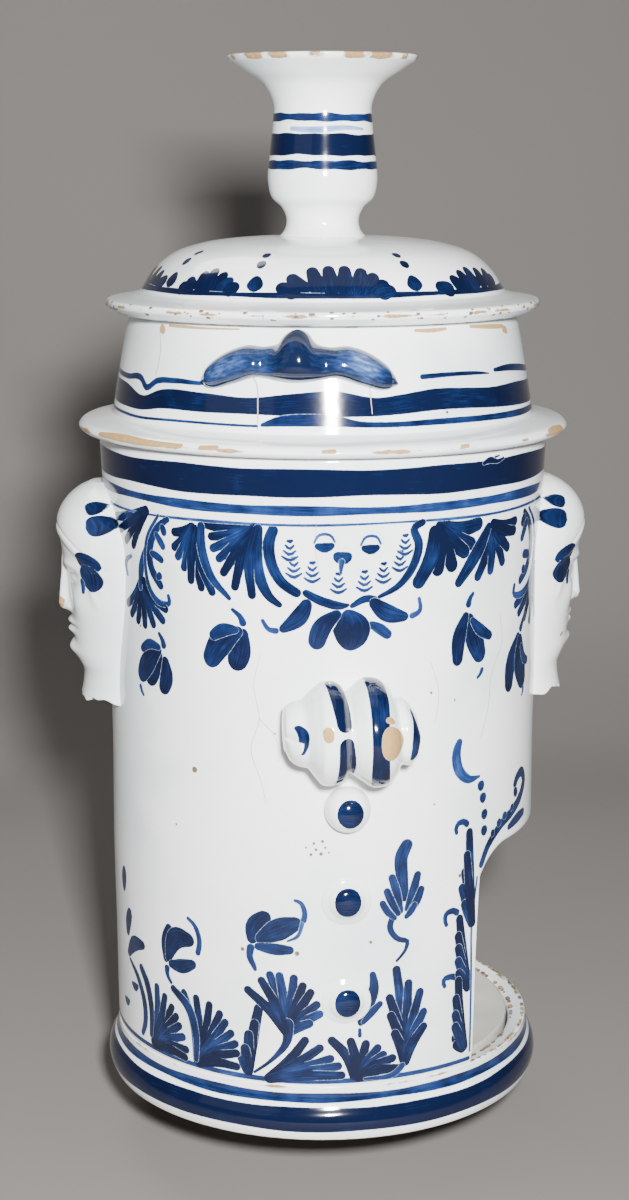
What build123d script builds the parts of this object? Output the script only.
"""Tin-glazed earthenware food warmer: a stove with a doorway, a loose bowl, a lid with a candle socket and an oil lamp.

Frame: +Z up, origin at the centre of the foot's underside. +X points out of the doorway and -Y at one shell handle.
Each piece is a solid of its own, made as the potter makes it: thrown, moulded or rolled, then luted to its neighbour.
"""

import os
from math import atan2, cos, degrees, radians, sin

from build123d import *

# ---- driving sizes, millimetres ----
total_height = 300.0
wall = 5.5  # thickness of the thrown stove
clearance = 0.3  # between loose pieces that pass each other

foot_radius = 65.2
foot_underside_radius = 63.4
foot_top = 15.0  # the doorway's sill
floor_under = 9.0
floor_top = 16.0
wall_foot_radius = 62.0
wall_waist_radius = 62.7
wall_waist_height = 104.0
wall_rim_radius = 65.0
wall_rim_height = 194.0
rim_rounding = 1.2

door_half_angle = 52.0  # degrees each side of +X
door_top = 79.0
door_corner = 15.0
flue_radius = 9.0
flue_height = 132.0

bowl_flange_radius = 71.2
bowl_rim_radius = 55.8
bowl_rim_height = 228.0
bowl_wall = 4.8
basin_depth_height = 122.0  # underside of the basin
bowl_turn = -13.0  # degrees that the bowl has been turned in the stove

lid_flange_radius = 62.6
lid_crown_height = 249.3
lid_wall = 4.5
bezel_depth = 9.0
bezel_wall = 3.6

socket_rim_radius = 27.3
socket_bore_radius = 11.0
socket_bore_bottom = 263.0
socket_bore_top = 288.0

mask_half_width = 25.5
mask_bottom = 113.0
mask_top = 181.0

shell_length = 37.5
shell_height = 121.0
shell_reach = 8.5  # from the wall to the shell's own axis
boss_height = 97.5
boss_radius = 6.4
stud_heights = (70.5, 41.0)
stud_radius = 5.2
stud_rise = 2.6

lamp_radius = 21.0
lamp_height = 25.0
lamp_wall = 2.8
wick_plate_thickness = 0.8
wick_tube_radius = 3.2
wick_radius = 2.4

sides = {"near": -90.0, "far": 90.0}  # degrees from +X, for what is made in pairs across Y
ends = {"front": 0.0, "back": 180.0}  # the same for the masks, over the doorway and opposite it


def wall_radius(height):
    """Outer radius of the stove's wall: the circle through its foot, waist and rim radii."""
    rise = (height - wall_waist_height) / (wall_rim_height - wall_waist_height)
    flare = wall_rim_radius - wall_waist_radius
    if height < wall_waist_height:
        rise = (wall_waist_height - height) / (wall_waist_height - foot_top)
        flare = wall_foot_radius - wall_waist_radius
    return wall_waist_radius + flare * rise**2


def turned(part, angle):
    """The part turned about the object's own axis."""
    return part.rotate(Axis.Z, angle)


def write(part, name):
    """Labels a finished piece and writes it as one STEP file."""
    part.label = name
    export_step(part, f"parts/{name}.step")


os.makedirs("parts", exist_ok=True)

# ---- stove wall: a thrown tube, with the doorway and the two flues cut through it ----
with BuildPart() as wall_envelope:
    with BuildSketch(Plane.XZ):
        with BuildLine():
            outer = ThreePointArc(
                (wall_foot_radius, foot_top),
                (wall_waist_radius, wall_waist_height),
                (wall_rim_radius, wall_rim_height),
            )
            Polyline(outer @ 1, (0, wall_rim_height), (0, foot_top), outer @ 0)
        make_face()
    revolve(axis=Axis.Z)

with BuildPart() as doorway:
    with BuildSketch(Plane.XY.offset(foot_top - 1)):
        with BuildLine():
            reach = 2 * foot_radius
            jamb = (reach * cos(radians(door_half_angle)), reach * sin(radians(door_half_angle)))
            Polyline((0, 0), (jamb[0], -jamb[1]), (jamb[0], jamb[1]), close=True)
        make_face()
    extrude(amount=door_top - foot_top + 1)
    top_face = doorway.faces().sort_by(Axis.Z)[-1]
    shoulders = top_face.edges().filter_by(Axis.Y, reverse=True)
    fillet(shoulders, radius=door_corner)

with BuildPart() as stove_wall:
    with BuildSketch(Plane.XZ):
        with BuildLine():
            outer = ThreePointArc(
                (wall_foot_radius, foot_top),
                (wall_waist_radius, wall_waist_height),
                (wall_rim_radius, wall_rim_height),
            )
            inner = ThreePointArc(
                (wall_rim_radius - wall, wall_rim_height),
                (wall_waist_radius - wall, wall_waist_height),
                (wall_foot_radius - wall, foot_top),
            )
            Line(outer @ 1, inner @ 0)
            Line(inner @ 1, outer @ 0)
        make_face()
    revolve(axis=Axis.Z)
    fillet(stove_wall.edges().group_by(Axis.Z)[-1], radius=rim_rounding)
    add(doorway.part, mode=Mode.SUBTRACT)
    with BuildSketch(Plane.YZ):
        with Locations((0, flue_height)):
            Circle(flue_radius)
    extrude(amount=foot_radius + wall, both=True, mode=Mode.SUBTRACT)
write(stove_wall.part, "stove_wall")

# ---- foot ring: a thrown moulding under the wall; its top is the doorway's sill ----
with BuildPart() as foot_ring:
    with BuildSketch(Plane.XZ):
        with BuildLine():
            Spline(
                (wall_foot_radius, foot_top),
                (63.4, 9.5),
                (foot_radius, 5.0),
                (foot_underside_radius + 1.0, 1.0),
                tangents=((0.05, -1), (-0.8, -1)),
            )
            Polyline(
                (foot_underside_radius + 1.0, 1.0),
                (foot_underside_radius, 0),
                (wall_foot_radius - wall, 0),
                (wall_foot_radius - wall, foot_top),
                (wall_foot_radius, foot_top),
            )
        make_face()
    revolve(axis=Axis.Z)
write(foot_ring.part, "foot_ring")

# ---- stove floor: the disc inside the foot that the lamp stands on ----
with BuildPart() as stove_floor:
    with BuildSketch(Plane.XY.offset(floor_under)):
        Circle(wall_foot_radius - wall)
    extrude(amount=floor_top - floor_under)
    fillet(stove_floor.edges().group_by(Axis.Z)[-1], radius=0.8)
write(stove_floor.part, "stove_floor")

# ---- mask vents: press-moulded hollow faces over the flues, open under the neck ----
# The face is laid out in thirds: hairline to brow, brow to the nose's base, nose's base to chin.
chin_height = 128.0
face_third = 14.0
nose_base = chin_height + face_third
brow_height = nose_base + face_third
eye_height = brow_height - 3.5
mouth_height = nose_base - face_third / 3
mask_root = wall_waist_radius - 4.0  # the sections' centre, inside the wall

# height, how far it stands out of the wall, half its width
face_sections = (
    (mask_bottom, 13.6, 15.5),
    (119.0, 10.8, 13.4),
    (125.0, 11.8, 13.8),
    (chin_height + 1.5, 13.6, 14.6),
    (135.0, 13.0, 17.0),
    (nose_base, 13.0, 19.2),
    (150.0, 13.0, 20.6),
    (brow_height + 1.5, 14.0, 20.6),
    (166.0, 13.2, 20.2),
    (173.0, 9.6, 18.0),
    (mask_top - 1.5, 3.0, 11.0),
)
hair_sections = (
    (138.0, 1.6, 20.6),
    (148.0, 6.4, 24.6),
    (158.0, 9.4, mask_half_width),
    (167.0, 13.4, 24.6),
    (174.0, 11.0, 20.0),
    (mask_top, 1.6, 9.5),
)


def lofted_head(sections, straight=False):
    """A solid through elliptic sections that are centred inside the wall."""
    with BuildPart() as head:
        for height, proud, half_width in sections:
            with BuildSketch(Plane.XY.offset(height)):
                with Locations((mask_root, 0)):
                    Ellipse(proud + 4.0, half_width)
        loft(ruled=straight)
    return head.part


def spindle(length, radius):
    """A roll of clay along Y that thins to blunt ends, for lids, brows and lips."""
    blunt = 0.3
    with BuildPart() as roll:
        with BuildSketch(Plane.XY):
            with BuildLine():
                swell = Spline((-blunt, -length / 2), (-radius, 0), (-blunt, length / 2))
                Polyline(swell @ 1, (0, length / 2), (0, -length / 2), swell @ 0)
            make_face()
        revolve(axis=Axis.Y)
    return roll.part


hollow_sections = (
    (mask_bottom - 4.0, 7.4, 10.2),
    (126.0, 7.4, 10.4),
    (138.0, 8.6, 14.0),
    (168.0, 8.0, 14.0),
)
nose_sections = (
    (brow_height + 0.5, 13.2, 2.0),
    (151.0, 15.0, 2.8),
    (nose_base + 3.4, 17.0, 4.2),
    (nose_base + 0.4, 14.6, 4.2),
)

face_block = lofted_head(face_sections)
hair_block = lofted_head(hair_sections)
hollow_block = lofted_head(hollow_sections, straight=True)
eyelid = spindle(11.0, 1.3)
brow = spindle(13.5, 1.7)
upper_lip = spindle(14.0, 1.6)
lower_lip = spindle(12.0, 1.8)

with BuildPart() as mask:
    add(face_block)
    add(hair_block)
    for height, proud, half_width in nose_sections:
        with BuildSketch(Plane.XY.offset(height)):
            with Locations((mask_root + 6.0, 0)):
                Ellipse(proud - 2.0, half_width)
    loft()
    with Locations((wall_waist_radius + 9.4, 0, chin_height + 1.6)):
        Sphere(4.6)
    for side in (-1, 1):
        with Locations((wall_waist_radius + 8.2, side * 8.2, eye_height)):
            Sphere(4.0)
        with Locations(Location((wall_waist_radius + 11.6, side * 8.4, eye_height + 2.0), (0, 0, side * 24))):
            add(eyelid)
        with Locations(Location((wall_waist_radius + 12.0, side * 8.6, brow_height + 1.4), (0, 0, side * 22))):
            add(brow)
    with Locations((wall_waist_radius + 12.8, 0, mouth_height + 0.8)):
        add(upper_lip)
    with Locations((wall_waist_radius + 12.8, 0, mouth_height - 1.4)):
        add(lower_lip)
    add(wall_envelope.part, mode=Mode.SUBTRACT)
    add(hollow_block, mode=Mode.SUBTRACT)

for end, angle in ends.items():
    write(turned(mask.part, angle), f"mask_{end}")

# ---- shell handles: a moulded spiral shell lying across the wall, on a short stem ----
# along the shell's axis from its middle, and the radius there
shell_profile = (
    (-18.7, 5.2),
    (-16.6, 8.0),
    (-13.4, 8.6),
    (-9.6, 13.2),
    (-6.6, 14.3),
    (-2.2, 12.0),
    (1.4, 13.6),
    (5.4, 15.0),
    (9.6, 13.6),
    (12.4, 9.2),
    (15.2, 8.8),
    (shell_length - 18.7, 4.6),
)
shell_axis = wall_radius(shell_height) + shell_reach

with BuildPart() as shell_handle:
    with BuildSketch(Plane.YX):
        with BuildLine():
            lobes = Spline(*[(radius - shell_axis, along) for along, radius in shell_profile])
            Polyline(
                lobes @ 1,
                (-shell_axis, shell_profile[-1][0]),
                (-shell_axis, shell_profile[0][0]),
                lobes @ 0,
            )
        make_face()
    revolve(axis=Axis((0, -shell_axis, 0), (1, 0, 0)))
    with BuildSketch(Plane.XZ.offset(shell_axis)):
        Ellipse(9.0, 7.5)
    extrude(amount=-shell_reach - wall)
shell_at_height = shell_handle.part.translate((0, 0, shell_height))

with BuildPart() as fitted_shell:
    add(shell_at_height)
    add(wall_envelope.part, mode=Mode.SUBTRACT)

for side, angle in sides.items():
    write(turned(fitted_shell.part, angle + 90), f"shell_handle_{side}")

# ---- handle bosses: a clay ball pressed against the wall below each shell ----
boss_centre = (0, -wall_radius(boss_height) - 1.6, boss_height)
with BuildPart() as handle_boss:
    with Locations(boss_centre):
        Sphere(boss_radius)
    add(wall_envelope.part, mode=Mode.SUBTRACT)

for side, angle in sides.items():
    write(turned(handle_boss.part, angle + 90), f"handle_boss_{side}")

# ---- wall studs: two low buttons of clay in line under each boss ----
with BuildPart() as wall_studs:
    for height in stud_heights:
        with BuildSketch(Plane.XZ.offset(wall_radius(height) - 1.5)):
            with Locations((0, height)):
                Circle(stud_radius)
        extrude(amount=stud_rise + 1.5, taper=22)
    add(wall_envelope.part, mode=Mode.SUBTRACT)

for side, angle in sides.items():
    write(turned(wall_studs.part, angle + 90), f"wall_studs_{side}")

# ---- food bowl: a deep basin hanging in the stove, and the collar with its resting flange above it ----
collar_foot_radius = 60.7
basin_radius = wall_rim_radius - wall - 1.6  # clear of the stove's rim
with BuildPart() as whole_bowl:
    with BuildSketch(Plane.XZ):
        with BuildLine():
            collar = Spline(
                (bowl_rim_radius, bowl_rim_height),
                (58.6, 213.0),
                (collar_foot_radius, 200.6),
            )
            shoulder = Spline(
                collar @ 1,
                (63.2, 199.0),
                (bowl_flange_radius - 1.6, 197.6),
                tangents=((0.2, -1), (1, -0.25)),
            )
            lip = ThreePointArc(
                shoulder @ 1,
                (bowl_flange_radius, 196.0),
                (bowl_flange_radius - 1.4, wall_rim_height + 0.4),
            )
            rest = Polyline(
                lip @ 1,
                (bowl_flange_radius - 3.0, wall_rim_height),
                (basin_radius + 0.4, wall_rim_height),
                (basin_radius, wall_rim_height - 1.0),
            )
            basin = Spline(
                rest @ 1,
                (basin_radius - 1.5, 165.0),
                (basin_radius - 12.0, 137.0),
                (28.0, basin_depth_height + 1.2),
                tangents=((-0.02, -1), (-1, -0.25)),
            )
            under = Polyline(basin @ 1, (26.0, basin_depth_height), (0, basin_depth_height))
            well = Polyline(under @ 1, (0, basin_depth_height + bowl_wall), (24.0, basin_depth_height + bowl_wall))
            inside = Spline(
                well @ 1,
                (basin_radius - 17.0, 141.0),
                (basin_radius - 6.5, 166.0),
                (basin_radius - 4.6, 196.0),
                (bowl_rim_radius - bowl_wall, bowl_rim_height),
                tangents=((1, 0.1), (-0.1, 1)),
            )
            Line(inside @ 1, collar @ 0)
        make_face()
    revolve(axis=Axis.Z)

split_height = wall_rim_height - 1.2  # the potter joins the collar and flange to the basin here
floor_height = 126.8  # the inside of the basin's flat floor
with BuildPart() as bowl_floor:
    add(whole_bowl.part)
    split(bisect_by=Plane.XY.offset(floor_height), keep=Keep.BOTTOM)
write(bowl_floor.part, "bowl_floor")

with BuildPart() as food_bowl:
    add(whole_bowl.part)
    split(bisect_by=Plane.XY.offset(split_height), keep=Keep.BOTTOM)
    split(bisect_by=Plane.XY.offset(floor_height), keep=Keep.TOP)
write(food_bowl.part, "food_bowl")

with BuildPart() as bowl_collar:
    add(whole_bowl.part)
    split(bisect_by=Plane.XY.offset(split_height), keep=Keep.TOP)
write(bowl_collar.part, "bowl_collar")

with BuildPart() as bowl_envelope:
    with BuildSketch(Plane.XZ):
        with BuildLine():
            collar = Spline(
                (bowl_rim_radius, bowl_rim_height),
                (58.6, 213.0),
                (collar_foot_radius, 200.6),
            )
            Polyline(collar @ 1, (0, 200.6), (0, bowl_rim_height), collar @ 0)
        make_face()
    revolve(axis=Axis.Z)

# ---- bowl handles: moulded lugs, a knob between two drooping wings ----
with BuildPart() as bowl_handle:
    with BuildSketch(Plane.XZ.offset(bowl_rim_radius - 9.0)):
        with BuildLine():
            upper = Spline(
                (27.4, 212.6),
                (24.0, 217.5),
                (15.5, 221.8),
                (6.6, 221.2),
                (0, 225.6),
                (-6.6, 221.2),
                (-15.5, 221.8),
                (-24.0, 217.5),
                (-27.4, 212.6),
            )
            left_tip = ThreePointArc(upper @ 1, (-26.8, 210.9), (-25.0, 210.4))
            lower = Spline(
                left_tip @ 1,
                (-17.0, 211.2),
                (-8.0, 213.2),
                (0, 212.4),
                (8.0, 213.2),
                (17.0, 211.2),
                (25.0, 210.4),
            )
            ThreePointArc(lower @ 1, (26.8, 210.9), upper @ 0)
        make_face()
    extrude(amount=19.5)
    fillet(bowl_handle.faces().sort_by(Axis.Y)[0].edges(), radius=1.2)
    add(bowl_envelope.part, mode=Mode.SUBTRACT)

for side, angle in sides.items():
    write(turned(bowl_handle.part, angle + 90 + bowl_turn), f"bowl_handle_{side}")

# ---- lid dome: thrown cover with a broad flange that rests on the bowl's rim ----
bezel_radius = bowl_rim_radius - bowl_wall - 0.9
socket_base_radius = 11.6
with BuildPart() as lid_dome:
    with BuildSketch(Plane.XZ):
        with BuildLine():
            crown = Polyline((0, lid_crown_height), (20.0, lid_crown_height), (21.0, lid_crown_height - 0.6))
            dome = Spline(
                crown @ 1,
                (35.2, 247.2),
                (43.0, 244.6),
                (48.0, 240.4),
                (51.4, 235.4),
                (55.6, 233.0),
                (lid_flange_radius - 1.2, 232.2),
                tangents=((1, 0), (1, -0.1)),
            )
            edge = ThreePointArc(dome @ 1, (lid_flange_radius, 230.9), (lid_flange_radius - 1.2, 229.6))
            seat = Polyline(
                edge @ 1,
                (lid_flange_radius - 3.0, bowl_rim_height),
                (bezel_radius - bezel_wall, bowl_rim_height),
                (bezel_radius - bezel_wall, bowl_rim_height + 2.0),
            )
            hollow = Spline(
                seat @ 1,
                (44.5, 236.6),
                (38.0, 241.8),
                (24.0, lid_crown_height - lid_wall - 0.6),
                tangents=((0, 1), (-1, 0.06)),
            )
            Polyline(hollow @ 1, (0, lid_crown_height - lid_wall - 0.3), (0, lid_crown_height))
        make_face()
    revolve(axis=Axis.Z)
write(lid_dome.part, "lid_dome")

# ---- lid bezel: the ring under the lid that keeps it centred in the bowl's mouth ----
with BuildPart() as lid_bezel:
    with BuildSketch(Plane.XY.offset(bowl_rim_height)):
        Circle(bezel_radius)
        Circle(bezel_radius - bezel_wall, mode=Mode.SUBTRACT)
    extrude(amount=-bezel_depth)
    fillet(lid_bezel.edges().group_by(Axis.Z)[0], radius=1.0)
write(lid_bezel.part, "lid_bezel")

# ---- candle socket: thrown nozzle with a drip pan, luted on the lid's crown ----
with BuildPart() as candle_socket:
    with BuildSketch(Plane.XZ):
        with BuildLine():
            stem = Spline(
                (socket_base_radius, lid_crown_height),
                (10.3, 254.0),
                (11.6, 257.4),
                (14.6, 259.9),
                (15.8, 264.8),
                (15.3, 271.5),
                (14.3, 280.0),
                (14.1, 287.0),
                (17.0, 291.8),
                (21.4, 294.4),
                (socket_rim_radius - 0.6, 298.4),
                tangents=((-0.5, 1), (1, 0.75)),
            )
            rim = ThreePointArc(
                stem @ 1, (socket_rim_radius, total_height - 0.6), (socket_rim_radius - 0.9, total_height)
            )
            pan = Spline(
                rim @ 1,
                (19.6, 296.4),
                (socket_bore_radius, socket_bore_top),
                tangents=((-1, -0.3), (-0.35, -1)),
            )
            Polyline(
                pan @ 1,
                (socket_bore_radius, socket_bore_bottom),
                (0, socket_bore_bottom),
                (0, lid_crown_height),
                stem @ 0,
            )
        make_face()
    revolve(axis=Axis.Z)
write(candle_socket.part, "candle_socket")

# ---- lamp cup: a small thrown oil cup standing on the stove's floor ----
plate_seat = lamp_height - 4.0  # height of the ledge that carries the wick plate
with BuildPart() as lamp_cup:
    with BuildSketch(Plane.XZ.offset(0)):
        with BuildLine():
            flank = Spline(
                (14.0, 0),
                (14.4, 2.4),
                (19.4, 12.0),
                (lamp_radius, lamp_height - 1.0),
                tangents=((0, 1), (0.1, 1)),
            )
            mouth = Polyline(
                flank @ 1,
                (lamp_radius - 0.6, lamp_height),
                (lamp_radius - lamp_wall, lamp_height),
                (lamp_radius - lamp_wall, plate_seat),
                (lamp_radius - lamp_wall - 1.6, plate_seat),
            )
            cavity = Spline(
                mouth @ 1,
                (15.4, 10.0),
                (9.0, 4.2),
                (0, 3.6),
                tangents=((-0.1, -1), (-1, 0)),
            )
            Polyline(cavity @ 1, (0, 1.2), (11.0, 1.2), (12.0, 0), flank @ 0)
        make_face()
    revolve(axis=Axis.Z)
write(lamp_cup.part.translate((0, 0, floor_top)), "lamp_cup")

# ---- lamp handle: a pulled strap loop on the doorway side of the cup ----
with BuildPart() as lamp_handle:
    with BuildLine():
        loop = Spline(
            (lamp_radius - 1.0, 0, 20.0),
            (lamp_radius + 8.0, 0, 21.5),
            (lamp_radius + 13.0, 0, 14.0),
            (lamp_radius + 7.0, 0, 6.6),
            (17.4, 0, 7.6),
            tangents=((1, 0, 0.4), (-1, 0, 0.2)),
        )
    with BuildSketch(Plane(origin=loop @ 0, x_dir=(0, 1, 0), z_dir=loop % 0)):
        Ellipse(3.6, 1.5)
    sweep()
    with BuildPart(mode=Mode.PRIVATE) as cup_envelope:
        with BuildSketch(Plane.XZ):
            with BuildLine():
                flank = Spline(
                    (14.0, 0),
                    (14.4, 2.4),
                    (19.4, 12.0),
                    (lamp_radius, lamp_height - 1.0),
                    tangents=((0, 1), (0.1, 1)),
                )
                Polyline(flank @ 1, (0, lamp_height - 1.0), (0, 0), flank @ 0)
            make_face()
        revolve(axis=Axis.Z)
    add(cup_envelope.part, mode=Mode.SUBTRACT)
write(lamp_handle.part.translate((0, 0, floor_top)), "lamp_handle")

# ---- wick plate, wick tube and wick: a tin disc dropped into the cup, with the tube soldered through it ----
seat_height = floor_top + plate_seat
with BuildPart() as wick_plate:
    with BuildSketch(Plane.XY.offset(seat_height)):
        Circle(lamp_radius - lamp_wall - clearance)
        Circle(wick_tube_radius, mode=Mode.SUBTRACT)
        with PolarLocations(11.5, 3, start_angle=60):
            Circle(1.6, mode=Mode.SUBTRACT)
    extrude(amount=wick_plate_thickness)
write(wick_plate.part, "wick_plate")

with BuildPart() as wick_tube:
    with BuildSketch(Plane.XY.offset(seat_height - 7.0)):
        Circle(wick_tube_radius)
        Circle(wick_radius, mode=Mode.SUBTRACT)
    extrude(amount=15.0)
write(wick_tube.part, "wick_tube")

with BuildPart() as wick:
    with BuildSketch(Plane.XY.offset(seat_height - 14.0)):
        Circle(wick_radius)
    extrude(amount=26.0)
    fillet(wick.edges().group_by(Axis.Z)[-1], radius=1.2)
write(wick.part, "wick")
